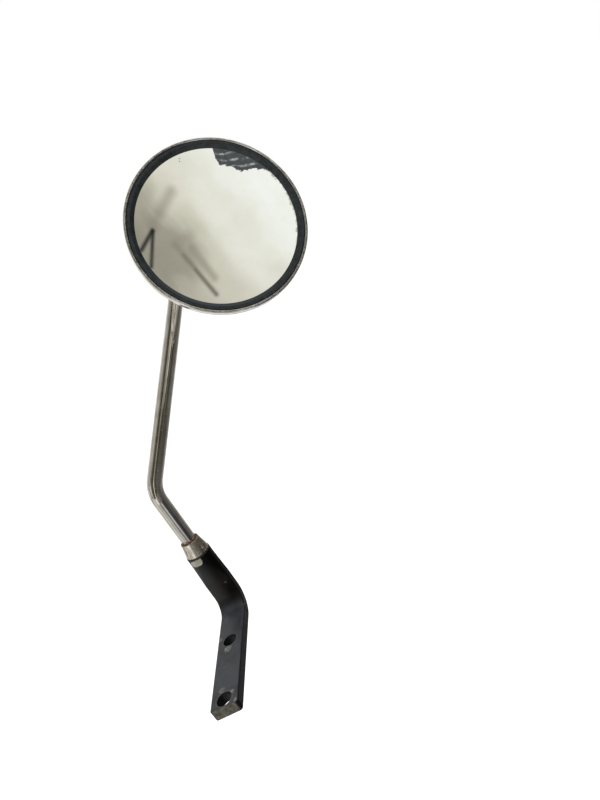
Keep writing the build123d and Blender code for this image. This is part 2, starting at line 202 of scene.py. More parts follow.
def bent_line(corners, radii, first_normal):
    """Centre line and its frames: straight runs joined by arcs that touch both runs. Along an
    arc the tangent, the normal and the arm from the arc's centre turn about the bend's axis:
    each is itself times the cosine of the angle plus the axis crossed with it times the sine;
    the normal's share along the axis stays."""
    places, tangents, normals = [corners[0]], [], []
    heading = corners[1] - corners[0]
    heading = heading / np.linalg.norm(heading)
    normal = first_normal
    tangents.append(heading)
    normals.append(normal)
    for k, radius in enumerate(radii, 1):
        ahead = corners[k + 1] - corners[k]
        ahead = ahead / np.linalg.norm(ahead)
        bend = math.acos(float(heading @ ahead))
        reach = radius * math.tan(bend / 2)
        pivot = np.cross(heading, ahead) / math.sin(bend)
        start = corners[k] - heading * reach
        centre = start + np.cross(pivot, heading) * radius
        angle = np.linspace(0, bend, 2 + int(math.degrees(bend)))[:, None]
        arm = start - centre
        places += list(centre + arm * np.cos(angle) + np.cross(pivot, arm) * np.sin(angle))
        tangents += list(heading * np.cos(angle) + np.cross(pivot, heading) * np.sin(angle))
        along = (normal @ pivot) * pivot
        rest = normal - along
        normals += list(along + rest * np.cos(angle) + np.cross(pivot, rest) * np.sin(angle))
        heading, normal = ahead, normals[-1]
    return np.array(places), np.array(tangents), np.array(normals)


# ------------------------------------------------------------------ rod: bent tube with a neck
ROD_RADIUS = 4.475              # a hair under the solid's 4.5, to stay inside its faceted box
RISE = math.radians(44.0)       # slope of the leaning run
SWING = math.radians(47.6)      # its direction, from +X towards +Y
LEAN = np.array((math.cos(RISE) * math.cos(SWING), math.cos(RISE) * math.sin(SWING),
                 math.sin(RISE)))
LEAN_TURN = (0.0, math.radians(90) - RISE, SWING)
SIDE_TURN = math.radians(40.0)  # the bend towards the middle of the mirror
BEND_RADII = (18.0, 20.0, 12.5)
BALL_RADIUS = 8.0
FLAT_RADIUS = 3.27              # of the flat on the ball, where the neck ends
BALL_FLAT = math.sqrt(BALL_RADIUS ** 2 - FLAT_RADIUS ** 2)      # from the ball's centre to it
NECK_RADIUS = 3.0
NECK_LENGTH = 3.2
NECK_TAPER = 1.9
STUD_RADIUS = 2.5
STUD_PAST = 1.7
NECK_RUN = 16.1                 # root of the neck to the corner of the last bend
TAIL = UPRIGHT + (0.0, 0.0, 38.4)
LOWER_BEND = UPRIGHT + (0.0, 0.0, 93.7)
ROOT = BALL - AXIS * (BALL_FLAT + NECK_LENGTH + NECK_TAPER)
FRONT_BEND = ROOT - AXIS * NECK_RUN
foot = LOWER_BEND + LEAN * ((FRONT_BEND - LOWER_BEND) @ LEAN)
SIDE_BEND = foot - LEAN * (np.linalg.norm(FRONT_BEND - foot) / math.tan(SIDE_TURN))


def rod_surface():
    """Circle of radius r carried along the bent centre line; past the root the radius follows
    the neck's profile along the mirror's axis, and both ends close in a pole."""
    corners = [TAIL, LOWER_BEND, SIDE_BEND, FRONT_BEND, ROOT]
    places, tangents, normals = bent_line(corners, BEND_RADII, STAND[1])
    seat = NECK_TAPER + NECK_LENGTH
    stud = seat + STUD_PAST + BALL_FLAT
    tail = rounded([(0, 0, 0), (ROD_RADIUS, 0, 0.5), (ROD_RADIUS, 3.0, 0)])
    neck = rounded([(ROD_RADIUS, -1.0, 0), (ROD_RADIUS, 0, 0.4), (NECK_RADIUS, NECK_TAPER, 0.6),
                    (NECK_RADIUS, seat, 0.1), (STUD_RADIUS, seat, 0.1), (STUD_RADIUS, stud, 0.3),
                    (0, stud, 0)])
    low, high = np.ones((len(tail), 1)), np.ones((len(neck), 1))
    centre = np.vstack((places[0] + tail[:, 1:] * tangents[0], places[1:],
                        ROOT + neck[:, 1:] * AXIS))
    radius = np.concatenate((tail[:, 0], np.full(len(places) - 1, ROD_RADIUS), neck[:, 0]))
    ahead = np.vstack((low * tangents[0], tangents[1:], high * AXIS))
    across = np.vstack((low * normals[0], normals[1:], high * normals[-1]))
    other = np.cross(ahead, across)
    angle = np.arange(96)[:, None] / 96 * TURN
    ring = across[:, None] * np.cos(angle) + other[:, None] * np.sin(angle)
    return build("rod_tube", centre[:, None] + radius[:, None, None] * ring)


# ------------------------------------------------------------------ world
bpy.context.scene.view_settings.view_transform = "Standard"
world = bpy.data.worlds.new("studio")
bpy.context.scene.world = world
world.use_nodes = True
sky = world.node_tree
sky.nodes.clear()
heading = add(sky, "TexCoord", out="Generated")
height = add(sky, "SeparateXYZ", {0: heading}, out="Z")
FRONT = np.array((0.357, -0.901, 0.247))


def studio_strips(axis, bands):
    """Studio strips and dark cards set round an axis: the angle of the looking direction about
    the axis, 0.5 in front and 0 or 1 behind, picks a colour from the bands."""
    front = FRONT - (FRONT @ axis) * axis
    front = front / np.linalg.norm(front)
    ahead = add(sky, "VectorMath", {0: heading, 1: tuple(front)}, **DOT)
    aside = add(sky, "VectorMath", {0: heading, 1: tuple(np.cross(axis, front))}, **DOT)
    angle = add(sky, "Math", {0: aside, 1: ahead}, **DIRECTION)
    place = add(sky, "MapRange", {0: angle, 1: -math.pi, 2: math.pi})
    return add(sky, "ValToRGB", {0: place}, [(at, colour(code)) for at, code in bands])


def chrome_cards():
    """The studio that the chrome reflects, in four rings of strips by the height z of the
    looking direction: high and side for the leaning run and its bend, middle for the cone and
    low for the upright run; and a roof window in line with the leaning run, which only the rim
    and the rubber catch."""
    high = studio_strips(LEAN, (
        (0.060, "f2f1ee"), (0.116, "d4d3ce"), (0.204, "b2b0aa"), (0.232, "a5a197"),
        (0.268, "c8c6ba"), (0.319, "979487"), (0.362, "4f4c44"), (0.425, "4b4840"),
        (0.452, "b8b4a8"), (0.480, "4e4b43"), (0.530, "45423b"), (0.580, "68665f"),
        (0.604, "4c4a44"), (0.650, "494844"), (0.700, "53524e"), (0.760, "696763"),
        (0.820, "7e7c79"), (0.900, "c4c3c0")))
    side = studio_strips(LEAN, (
        (0.060, "f8f7f4"), (0.180, "dddbd5"), (0.225, "8f8b82"), (0.268, "dad7cc"),
        (0.320, "bdbab0"), (0.362, "58554c"), (0.425, "4b4840"), (0.452, "e9e6da"),
        (0.480, "4e4b43"), (0.530, "45423b"), (0.580, "68665f"), (0.604, "4c4a44"),
        (0.650, "494844"), (0.700, "53524e"), (0.760, "696763"), (0.820, "7e7c79"),
        (0.900, "c4c3c0")))
    middle = studio_strips(STAND[3], (
        (0.100, "dedbd2"), (0.160, "b6b1a7"), (0.205, "b2aca2"), (0.250, "f4efe2"),
        (0.295, "bfb9ab"), (0.330, "dfdad1"), (0.368, "ffffff"), (0.405, "d5d3cf"),
        (0.435, "8f8b85"), (0.480, "8a857f"), (0.525, "7a746a"), (0.560, "645f57"),
        (0.620, "5a554b"), (0.700, "585347"), (0.780, "58534a"), (0.840, "68635a"),
        (0.920, "827c72")))
    low = studio_strips(STAND[3], (
        (0.060, "f2f1ee"), (0.175, "c6c2b9"), (0.208, "b0aca4"), (0.246, "eeebe4"),
        (0.300, "bab7b2"), (0.347, "dcdad6"), (0.396, "8e8c88"), (0.440, "9e9c99"),
        (0.478, "dedddb"), (0.500, "a9a8a9"), (0.525, "5c5c60"), (0.568, "37373d"),
        (0.613, "44444a"), (0.659, "605f5d"), (0.710, "6c6a66"), (0.768, "76736e"),
        (0.842, "9a9894"), (0.920, "d4d3cf")))
    beside = add(sky, "MapRange", {0: height, 1: 0.55, 2: 0.40}, **SOFT)
    cards = add(sky, "Mix", {0: beside, 6: high, 7: side}, **BLEND)
    skyward = add(sky, "VectorMath", {0: heading, 1: tuple(LEAN)}, **DOT)
    skyward = add(sky, "MapRange", {0: skyward, 1: 0.80, 2: 0.92}, **SOFT)
    cards = add(sky, "Mix", {0: skyward, 6: cards, 7: colour("eef0f0")}, **BLEND)
    below = add(sky, "MapRange", {0: height, 1: -0.02, 2: -0.05}, **SOFT)
    cards = add(sky, "Mix", {0: below, 6: cards, 7: middle}, **BLEND)
    deep = add(sky, "MapRange", {0: height, 1: -0.28, 2: -0.32}, **SOFT)
    return add(sky, "Mix", {0: deep, 6: cards, 7: low}, **BLEND)


# the wall that the mirror looks at: its middle, right and up as looking directions
WALL = np.array((0.5508, -0.6206, 0.5581))
WALL_RIGHT = np.array((0.8091, 0.2327, -0.5397))
WALL_UP = np.array((0.2051, 0.7488, 0.6303))
# light across the wall, from its dark side to its bright side
WALL_SHADES = ((0.000, "bab6a8"), (0.040, "bfbbad"), (0.185, "cecbbc"), (0.296, "d7d4c5"),
               (0.407, "e3e1d4"), (0.520, "e9e8dd"), (0.630, "f3f4ed"), (0.740, "f9fbf6"),
               (1.000, "fafcf8"))
# soft shadows: middle, half sizes, turn in degrees, colour, strength
SHADOWS = (
    ((-0.080, -0.045), (0.085, 0.085), 20, "908c80", 0.72),
    ((-0.135, 0.020), (0.060, 0.085), -15, "8b8679", 0.55),
    ((0.075, -0.095), (0.110, 0.040), 20, "d5d3c6", 0.35))
# soft bars: start, end, half width, blur, colour, strength
BARS = (
    ((-0.064, -0.030), (-0.002, -0.108), 0.0030, 0.0060, "837e71", 0.45),
    ((-0.052, -0.046), (-0.002, -0.109), 0.0016, 0.0046, "6c675a", 0.42),
    ((-0.034, -0.069), (-0.002, -0.109), 0.0012, 0.0040, "5a554a", 0.45),
    ((-0.038, -0.036), (-0.004, -0.082), 0.0040, 0.0080, "8b8577", 0.55),
    ((-0.066, 0.050), (-0.096, 0.000), 0.0040, 0.0120, "8b8578", 0.50),
    ((-0.040, -0.014), (-0.062, -0.030), 0.0040, 0.0120, "8f897c", 0.30),
    ((-0.022, 0.052), (0.078, -0.088), 0.0100, 0.0220, "f7f8f2", 0.40),
    ((-0.046, 0.020), (0.034, -0.100), 0.0070, 0.0160, "cbc8b9", 0.35),
    ((-0.0975, -0.008), (-0.1165, -0.038), 0.0030, 0.0036, "1e2022", 0.90),
    ((-0.0970, -0.010), (-0.1030, -0.064), 0.0022, 0.0036, "1e2022", 0.88))


def mirror_wall(toward):
    """The wall's colour on flat coordinates, where 1 unit is 45 degrees from its middle; toward
    is the cosine of the looking direction to that middle. The nearest point of each bar's line
    is found first, and the bar's colour fades over the blur on both sides of its half width."""
    across = add(sky, "VectorMath", {0: heading, 1: tuple(WALL_RIGHT)}, **DOT)
    upward = add(sky, "VectorMath", {0: heading, 1: tuple(WALL_UP)}, **DOT)
    across = add(sky, "Math", {0: across, 1: toward}, **SHARED_BY)
    upward = add(sky, "Math", {0: upward, 1: toward}, **SHARED_BY)
    place = add(sky, "CombineXYZ", {0: across, 1: upward})
    slope = add(sky, "VectorMath", {0: place, 1: (0.78, 0.62, 0.0)}, **DOT)
    drift = add(sky, "TexNoise", {"Vector": place, "Scale": 9.0, "Detail": 2.0})
    slope = add(sky, "Math", {0: drift, 1: 0.045, 2: slope}, **TIMES_PLUS)
    share = add(sky, "MapRange", {0: slope, 1: -0.0875, 2: 0.1825})
    wall = add(sky, "ValToRGB", {0: share}, [(at, colour(code)) for at, code in WALL_SHADES])
    frame_turn = (0.0, 0.0, math.radians(-50))
    drawn_out = add(sky, "Mapping", {0: place, 2: frame_turn, 3: (3.0, 0.8, 1.0)}, **FRAMED)
    stains = add(sky, "TexNoise", {"Vector": drawn_out, "Scale": 40.0, "Detail": 3.0,
                                   "Distortion": 0.5})
    stains = add(sky, "MapRange", {0: stains, 1: 0.30, 2: 0.62, 3: 0.70, 4: 1.30})
    for middle, size, turn, code, strength in SHADOWS:
        frame_turn = (0.0, 0.0, math.radians(turn))
        framed = add(sky, "Mapping", {0: place, 1: (*middle, 0.0), 2: frame_turn, 3: (*size, 1.0)},
                     **FRAMED)
        near = add(sky, "TexGradient", {0: framed}, gradient_type="SPHERICAL", out=1)
        near = add(sky, "Math", {0: near, 1: stains}, **TIMES)
        cover = add(sky, "MapRange", {0: near, 2: 0.7, 4: strength}, **SOFT)
        wall = add(sky, "Mix", {0: cover, 6: wall, 7: colour(code)}, **BLEND)
    for start, end, half, blur, code, strength in BARS:
        start, end = np.array((*start, 0.0)), np.array((*end, 0.0))
        run = end - start
        offset = add(sky, "VectorMath", {0: place, 1: tuple(start)}, **MINUS)
        along = add(sky, "VectorMath", {0: offset, 1: tuple(run / (run @ run))}, **DOT)
        along = add(sky, "MapRange", {0: along})
        nearest = add(sky, "VectorMath", {0: tuple(run), "Scale": along}, operation="SCALE")
        away = add(sky, "VectorMath", {0: offset, 1: nearest}, **GAP)
        inner = max(half - blur, 0.0)
        cover = add(sky, "MapRange", {0: away, 1: half + blur, 2: inner, 4: strength}, **SOFT)
        wall = add(sky, "Mix", {0: cover, 6: wall, 7: colour(code)}, **BLEND)
    return wall


# reflections see the cards and the wall, plain light is a soft gradient, the eye sees white
toward = add(sky, "VectorMath", {0: heading, 1: tuple(WALL)}, **DOT)
facing = add(sky, "MapRange", {0: toward, 1: 0.9875, 2: 0.9900}, **SOFT)
studio = add(sky, "Mix", {0: facing, 6: chrome_cards(), 7: mirror_wall(toward)}, **BLEND)
rays = add(sky, "LightPath", out=None)
plain = add(sky, "MapRange", {0: height, 1: -1.0, 2: 1.0, 3: 0.75, 4: 1.15})
lit = add(sky, "Mix", {0: rays["Is Glossy Ray"], 6: plain, 7: studio}, **BLEND)
seen = add(sky, "Mix", {0: rays["Is Camera Ray"], 6: lit, 7: grey(1.0)}, **BLEND)
sky.links.new(add(sky, "Background", {0: seen}), sky.nodes.new("ShaderNodeOutputWorld").inputs[0])


# ------------------------------------------------------------------ lamp and floor in metres
lamp_data = bpy.data.lights.new("softbox", "AREA")
lamp_data.shape = "DISK"
lamp_data.size = 0.5
lamp_data.energy = 6.0
lamp_data.color = colour("fff8ec")[:3]
lamp = bpy.data.objects.new("softbox", lamp_data)
bpy.context.scene.collection.objects.link(lamp)
lamp.location = (-0.35, -0.55, 0.75)
lamp.rotation_euler = (math.radians(50), 0.0, math.radians(-32))
lamp.visible_glossy = False

FLOOR_HALF = 6.0
FLOOR_HEIGHT = -0.20
floor_corners = [(x * FLOOR_HALF, y * FLOOR_HALF, FLOOR_HEIGHT)
                 for x, y in ((-1, -1), (1, -1), (1, 1), (-1, 1))]
floor_mesh = bpy.data.meshes.new("floor")
floor_mesh.from_pydata(floor_corners, [], [(0, 1, 2, 3)])
floor = bpy.data.objects.new("floor", floor_mesh)
bpy.context.scene.collection.objects.link(floor)
floor.visible_glossy = False

# camera: place in millimetres, turn in degrees; its lens and sensor go together
camera = bpy.data.objects.new("camera", bpy.data.cameras.new("camera"))
bpy.context.scene.collection.objects.link(camera)
camera.location = (142.6 * MM, -231.4 * MM, 203.4 * MM)
camera.rotation_euler = [math.radians(a) for a in (68.80, 29.06, -2.59)]
camera.data.sensor_width = 36.0
camera.data.lens = 27.0
camera.data.clip_start = 0.01
bpy.context.scene.camera = camera


# ------------------------------------------------------------------ materials
STRAIGHT = (0.0, 0.0, 0.0)
EVEN = (1.0, 1.0, 1.0)


def finish(name, **values):
    """New material and its node tree, with plain values set on its surface shader."""
    made = bpy.data.materials.new(name)
    made.use_nodes = True
    shader = made.node_tree.nodes["Principled BSDF"]
    for socket, value in values.items():
        shader.inputs[socket.replace("_", " ")].default_value = value
    return made, made.node_tree


def surface(tree, **links):
    """Links finished colours, masks and bumps to the surface shader."""
    for socket, link in links.items():
        tree.links.new(link, tree.nodes["Principled BSDF"].inputs[socket.replace("_", " ")])


def millimetres(tree, origin=STRAIGHT, turn=STRAIGHT, stretch=EVEN):
    """Object coordinates in mm about an origin in mm, turned, and divided by a stretch."""
    place = add(tree, "TexCoord", out="Object")
    start = [MM * part for part in origin]
    scale = [MM * part for part in stretch]
    return add(tree, "Mapping", {0: place, 1: start, 2: turn, 3: scale}, **FRAMED)


def blotches(tree, place, size, detail=4.0, rough=0.55, low=0.35, high=0.65):
    """Cloudy blotches of a size in mm: noise stretched so that low gives 0 and high gives 1."""
    cloud = add(tree, "TexNoise", {"Vector": place, "Scale": 1 / size, "Detail": detail,
                                   "Roughness": rough})
    return add(tree, "MapRange", {0: cloud, 1: low, 2: high})


def freckles(tree, place, spacing, radius, crowd):
    """Round freckles a spacing apart in mm, with a radius as a share of it, where they crowd."""
    dots = add(tree, "TexVoronoi", {"Vector": place, "Scale": 1 / spacing})
    dots = add(tree, "MapRange", {0: dots, 1: radius, 2: 0.6 * radius}, **SOFT)
    return add(tree, "Math", {0: dots, 1: crowd}, **TIMES)


def plated(name, origin=STRAIGHT, turn=STRAIGHT, rust=None, lines=None):
    """Bright decorative chrome over nickel on polished steel, decades old: a hard mirror shine,
    broken by clustered pits of 0.2 to 0.5 mm and by a thin brownish haze in patches 8 mm wide;
    rust(tree, place) and lines(tree) give the masks of rust and of lengthwise drawing lines."""
    made, tree = finish(name, Metallic=1.0)
    place = millimetres(tree, origin, turn)
    haze = blotches(tree, place, 8.0, 5.0, 0.6, 0.42, 0.72)
    pit = freckles(tree, place, 0.52, 0.24, blotches(tree, place, 5.0, 3.0, 0.5, 0.48, 0.66))
    base = add(tree, "Mix", {0: haze, 6: colour("f3f2f0"), 7: colour("d6d1c7")}, **BLEND)
    base = add(tree, "Mix", {0: pit, 6: base, 7: colour("6f675c")}, **BLEND)
    rough = add(tree, "Math", {0: haze, 1: 0.05, 2: 0.03}, **TIMES_PLUS)
    rough = add(tree, "Math", {0: pit, 1: 0.25, 2: rough}, **TIMES_PLUS)
    ripple = blotches(tree, place, 2.5, 2.0)
    bump = add(tree, "Bump", {"Height": ripple, "Strength": 0.05, "Distance": 0.02 * MM})
    bump = add(tree, "Bump", {"Height": pit, "Strength": 0.5, "Distance": 0.05 * MM,
                              "Normal": bump}, invert=True)
    if lines:
        drawn = lines(tree)
        tint = add(tree, "ValToRGB", {0: drawn}, [
            (0.20, colour("8b887f")), (0.45, colour("e3e1db")), (0.75, colour("ffffff"))])
        base = add(tree, "Mix", {0: 0.75, 6: base, 7: tint}, **BLEND, blend_type="MULTIPLY")
        bump = add(tree, "Bump", {"Height": drawn, "Strength": 0.5, "Distance": 0.03 * MM,
                                  "Normal": bump})
    if rust:
        mask = rust(tree, place)
        shade = blotches(tree, place, 0.7, 3.0)
        brown = add(tree, "Mix", {0: shade, 6: colour("5e4030"), 7: colour("3e2a1f")}, **BLEND)
        base = add(tree, "Mix", {0: mask, 6: base, 7: brown}, **BLEND)
        rough = add(tree, "Math", {0: mask, 1: 0.5, 2: rough}, **TIMES_PLUS)
        surface(tree, Metallic=add(tree, "Math", {0: 1.0, 1: mask}, **MINUS))
    surface(tree, Base_Color=base, Roughness=rough, Normal=bump)
    return made


def drawing_lines(tree):
    """Fine lines that run along the tube: noise 0.8 mm round and 60 mm long, set along the
    upright below the first bend and along the leaning run above it, and fading out before
    the bends behind the head."""
    z = add(tree, "SeparateXYZ", {0: millimetres(tree)}, out="Z")
    stretch = (0.8, 0.8, 60.0)
    lower = millimetres(tree, stretch=stretch)
    lower = blotches(tree, lower, 1.0, 3.0, 0.6, 0.25, 0.75)
    upper = millimetres(tree, turn=LEAN_TURN, stretch=stretch)
    upper = blotches(tree, upper, 1.0, 3.0, 0.6, 0.25, 0.75)
    above = add(tree, "MapRange", {0: z, 1: 91.0, 2: 98.0}, **SOFT)
    both = add(tree, "Mix", {0: above, 2: lower, 3: upper})
    reach = add(tree, "SeparateXYZ", {0: millimetres(tree, LOWER_BEND, LEAN_TURN)}, out="Z")
    run = float(np.linalg.norm(SIDE_BEND - LOWER_BEND))
    gone = add(tree, "MapRange", {0: reach, 1: run - 20.0, 2: run - 5.0}, **SOFT)
    return add(tree, "Mix", {0: gone, 2: both, 3: 0.5})


def turning_lines(tree):
    """Corrosion streaks that run down the cone: noise 0.9 mm round and 9 mm long."""
    place = millimetres(tree, UPRIGHT, stretch=(0.9, 0.9, 9.0))
    return blotches(tree, place, 1.0, 4.0, 0.6, 0.25, 0.75)


def nut_rust(tree, place):
    """Rust on the cone's top land and in the crevice at its foot, ragged at the edges."""
    z = add(tree, "SeparateXYZ", {0: place}, out="Z")
    flat = add(tree, "VectorMath", {0: place, 1: (1.0, 1.0, 0.0)}, **TIMES)
    away = add(tree, "VectorMath", {0: flat}, **LENGTH)
    ragged = add(tree, "Math", {0: blotches(tree, place, 1.3), 1: 0.5, 2: z}, **TIMES_PLUS)
    top = add(tree, "MapRange", {0: ragged, 1: CONE_TOP - 0.25, 2: CONE_TOP + 0.1}, **SOFT)
    land = add(tree, "MapRange", {0: away, 1: 6.0, 2: 5.65}, **SOFT)
    top = add(tree, "Math", {0: top, 1: land}, **TIMES)
    foot = add(tree, "MapRange", {0: ragged, 1: CONE_FOOT + 1.1, 2: CONE_FOOT + 0.3, 4: 0.75},
               **SOFT)
    foot = add(tree, "Math", {0: foot, 1: blotches(tree, place, 2.2)}, **TIMES)
    specks = freckles(tree, place, 1.1, 0.30, blotches(tree, place, 3.5, 3.0, 0.5, 0.45, 0.6))
    both = add(tree, "Math", {0: top, 1: foot}, **LARGER)
    return add(tree, "Math", {0: both, 1: specks}, **LARGER)


def rod_rust(tree, place):
    """Rust bleeding up the rod from the cone's opening, and freckles along the rod."""
    z = add(tree, "SeparateXYZ", {0: place}, out="Z")
    ragged = add(tree, "Math", {0: blotches(tree, place, 1.6), 1: -2.4, 2: z}, **TIMES_PLUS)
    foot = add(tree, "MapRange", {0: ragged, 1: CONE_TOP + 0.4, 2: CONE_TOP - 0.3}, **SOFT)
    spots = freckles(tree, place, 2.2, 0.11, blotches(tree, place, 14.0, 2.0, 0.5, 0.5, 0.6))
    spots = add(tree, "Math", {0: spots, 1: 0.7}, **TIMES)
    return add(tree, "Math", {0: foot, 1: spots}, **LARGER)


def rim_rust(tree, place):
    """Brown rust in patches along the rim's groove, with freckles round the edge."""
    z = add(tree, "SeparateXYZ", {0: place}, out="Z")
    off = add(tree, "Math", {0: add(tree, "Math", {0: z, 1: -GROOVE}, **PLUS)}, **UNSIGNED)
    groove = add(tree, "MapRange", {0: off, 1: 0.35, 2: 0.15}, **SOFT)
    patches = blotches(tree, place, 7.0, 5.0, 0.65, 0.44, 0.60)
    groove = add(tree, "Math", {0: groove, 1: patches}, **TIMES)
    spots = freckles(tree, place, 1.25, 0.16, blotches(tree, place, 11.0, 3.0, 0.5, 0.50, 0.62))
    return add(tree, "Math", {0: groove, 1: spots}, **LARGER)


rod_chrome = plated("chrome_plated_rod", rust=rod_rust, lines=drawing_lines)
head_chrome = plated("chrome_plated_pressing", BALL, HEAD_TURN)
rim_chrome = plated("chrome_plated_rim", BALL, HEAD_TURN, rim_rust)
cone_chrome = plated("chrome_plated_nut", UPRIGHT, rust=nut_rust, lines=turning_lines)


# middle, from the end hole, and radius of each scuff; place of the nick
SCUFFS = (((0.0, 0.0), 5.6), ((-1.9, 6.2), 2.2), ((6.8, -3.6), 1.6), ((4.3, 2.6), 1.8),
          ((0.0, 41.0), 5.1), ((-0.8, 34.8), 3.0), ((-6.6, 44.6), 1.6))
NICK = (4.2, 71.7, 22.2)


def stoved_enamel():
    """Black stoved enamel on steel strip: a satin skin with orange peel 0.9 mm across, brown
    bloom on the upright, painted shade across the upright, painted light that greys the faces
    that look up, scuffs where washers turned round the holes, chipped edges, and a saw-cut end
    left bare and brown."""
    made, tree = finish("black_stoved_enamel")
    place = millimetres(tree)
    x, y, z = add(tree, "SeparateXYZ", {0: place}, out=None)
    flank, _, facing_up = add(tree, "SeparateXYZ", {
        0: add(tree, "NewGeometry", out="True Normal")}, out=None)
    fine = blotches(tree, place, 0.8)
    bloom = blotches(tree, place, 9.0, 5.0, 0.62, 0.42, 0.66)
    upper = add(tree, "MapRange", {0: z, 1: 7.0, 2: 14.0}, **SOFT)
    # upright: painted shade, dark grey on the left to dead black on the right; brown bloom low down
    side = add(tree, "MapRange", {0: x, 1: -6.0, 2: 3.5}, **SOFT)
    stand = add(tree, "Mix", {0: side, 6: colour("1c1e20"), 7: colour("050505")}, **BLEND)
    low_down = add(tree, "MapRange", {0: z, 1: 40.0, 2: 14.0, 4: 0.8}, **SOFT)
    brown = add(tree, "Math", {0: bloom, 1: low_down}, **TIMES)
    stand = add(tree, "Mix", {0: brown, 6: stand, 7: colour("1f1713")}, **BLEND)
    # leg: painted light, in patches, that greys the faces which look up
    painted_top_light = blotches(tree, place, 12.0, 5.0, 0.6, 0.2, 0.6)
    level = add(tree, "MapRange", {0: facing_up, 1: 0.5, 2: 0.95, 4: 0.75}, **SOFT)
    painted_top_light = add(tree, "Math", {0: painted_top_light, 1: level}, **TIMES)
    leg = add(tree, "Mix", {0: painted_top_light, 6: colour("0d0f12"), 7: colour("34363d")}, **BLEND)
    paint = add(tree, "Mix", {0: upper, 6: leg, 7: stand}, **BLEND)
    # scuffs on the leg's top face
    top = add(tree, "MapRange", {0: facing_up, 1: 0.9, 2: 0.98})
    rubbed = blotches(tree, place, 1.0, 6.0, 0.7, 0.40, 0.62)
    wear = 0.0
    for middle, radius in SCUFFS:
        away = add(tree, "VectorMath", {0: place, 1: (*middle, THICKNESS)}, **GAP)
        scuff = add(tree, "MapRange", {0: away, 1: radius, 2: 0.4 * radius, 4: 0.9}, **SOFT)
        wear = add(tree, "Math", {0: wear, 1: scuff}, **LARGER)
    rubbed = add(tree, "Math", {0: rubbed, 1: top}, **TIMES)
    wear = add(tree, "Math", {0: wear, 1: rubbed}, **TIMES)
    # chipped long edges of the leg: how far a point lies from the nearest edge line
    aside = add(tree, "Math", {0: x}, **UNSIGNED)
    inward = add(tree, "Math", {0: aside, 1: -1.0, 2: HALF_WIDTH}, **TIMES_PLUS)
    half_way = add(tree, "Math", {0: z, 1: -THICKNESS / 2}, **PLUS)
    half_way = add(tree, "Math", {0: half_way}, **UNSIGNED)
    inner = add(tree, "Math", {0: half_way, 1: -1.0, 2: THICKNESS / 2}, **TIMES_PLUS)
    from_edge = add(tree, "CombineXYZ", {0: inward, 1: inner})
    from_edge = add(tree, "VectorMath", {0: from_edge}, **LENGTH)
    ragged = blotches(tree, place, 1.6, 6.0, 0.7)
    from_edge = add(tree, "Math", {0: ragged, 1: -0.7, 2: from_edge}, **TIMES_PLUS)
    chips = add(tree, "MapRange", {0: from_edge, 1: -0.20, 2: -0.45, 4: 0.8}, **SOFT)
    wear = add(tree, "Math", {0: wear, 1: chips}, **LARGER)
    # one faint nick on the upright
    nick = add(tree, "VectorMath", {0: place, 1: NICK}, **GAP)
    nick = add(tree, "Math", {0: fine, 1: 0.5, 2: nick}, **TIMES_PLUS)
    nick = add(tree, "MapRange", {0: nick, 1: 1.1, 2: 0.7, 4: 0.12}, **SOFT)
    wear = add(tree, "Math", {0: wear, 1: nick}, **LARGER)
    bare = add(tree, "Mix", {0: fine, 6: colour("aeaca3"), 7: colour("57534a")}, **BLEND)
    skin = add(tree, "Mix", {0: wear, 6: paint, 7: bare}, **BLEND)
    # the cut end
    cut = add(tree, "MapRange", {0: y, 1: CUT_END + 0.08, 2: CUT_END + 0.03})
    stain = blotches(tree, place, 2.5, 5.0)
    raw = add(tree, "Mix", {0: stain, 6: colour("524f45"), 7: colour("2f2c25")}, **BLEND)
    skin = add(tree, "Mix", {0: cut, 6: skin, 7: raw}, **BLEND)
    shine = add(tree, "Math", {0: wear, 1: 0.7}, **TIMES)
    # gloss: worn off the long side faces; lowered on the upright's right part, under its painted
    # shade
    gloss = add(tree, "MapRange", {0: flank, 1: 0.2, 2: 0.8, 3: 0.38, 4: 0.08}, **SOFT)
    dead = add(tree, "Math", {0: side, 1: upper}, **TIMES)
    dead = add(tree, "Math", {0: dead, 1: -0.75, 2: 1.0}, **TIMES_PLUS)
    gloss = add(tree, "Math", {0: gloss, 1: dead}, **TIMES)
    rough = add(tree, "Math", {0: bloom, 1: 0.12, 2: 0.36}, **TIMES_PLUS)
    rough = add(tree, "Math", {0: cut, 1: 0.25, 2: rough}, **TIMES_PLUS)
    peel = blotches(tree, place, 0.9, 2.0)
    bared = add(tree, "Math", {0: wear, 1: cut}, **LARGER)
    peel = add(tree, "Math", {0: bared, 1: -1.5, 2: peel}, **TIMES_PLUS)
    bump = add(tree, "Bump", {"Height": peel, "Strength": 0.25, "Distance": 0.05 * MM})
    surface(tree, Base_Color=skin, Roughness=rough, Metallic=shine, Normal=bump,
            Specular_IOR_Level=gloss)
    return made


# share of the patch's depth by the angle over a quarter turn; the two dots near the top edge
PATCH = ((0.15, 0.0), (0.20, 0.20), (0.28, 0.50), (0.37, 0.95), (0.45, 0.86), (0.52, 0.90),
         (0.60, 0.88), (0.635, 0.55), (0.66, 0.0))
PATCH_DEPTH = 11.5
DOTS = ((3.9, 42.6, GLASS_FRONT), (2.9, 41.2, GLASS_FRONT))


